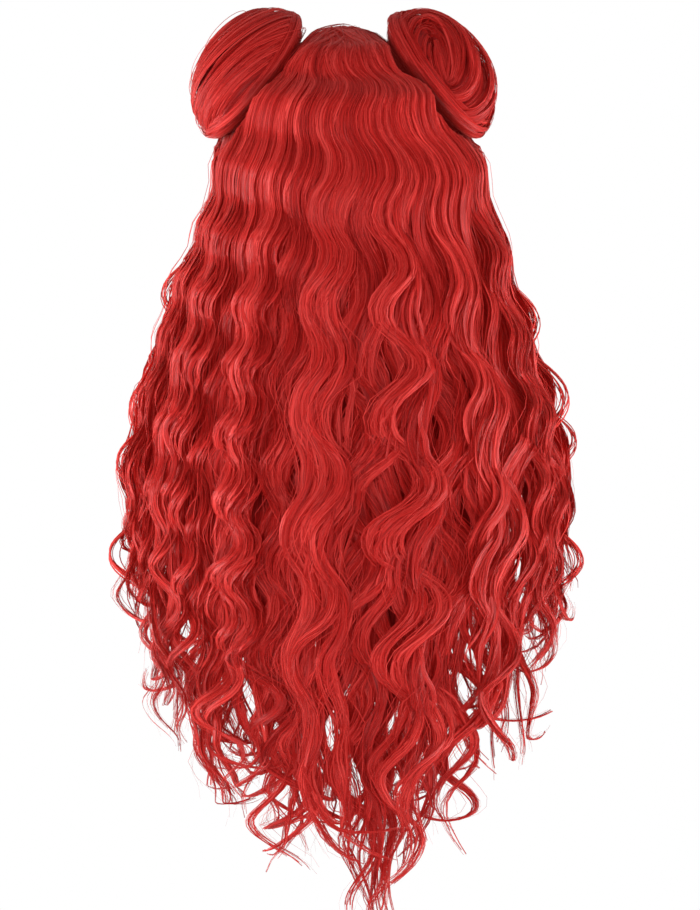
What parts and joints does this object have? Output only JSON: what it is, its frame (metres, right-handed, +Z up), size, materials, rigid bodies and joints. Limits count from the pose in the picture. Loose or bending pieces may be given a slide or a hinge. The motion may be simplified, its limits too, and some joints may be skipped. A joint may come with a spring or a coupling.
{
  "type": "long wavy wig with two coiled buns",
  "caption": "Long wavy red wig on a hollow cap, with a centre parting and a coiled bun on each side of the crown, worn over the head.",
  "frame": {"origin": "inside top of the cap, where the crown of the head sits", "axes": "+Z up, -Y towards the face, +X towards the wearer's left"},
  "size_m": [0.3289, 0.2385, 0.623],
  "materials": {
    "hair": "satin synthetic hair fibre",
    "cap_net": "matt stretch net with sewn wefts"
  },
  "bodies": {
    "root": {"wig_cap": "cap_net", "nape_hair": "hair", "back_hair": "hair", "left_side_hair": "hair", "right_side_hair": "hair", "left_bun": "hair", "right_bun": "hair"}
  },
  "joints": []
}
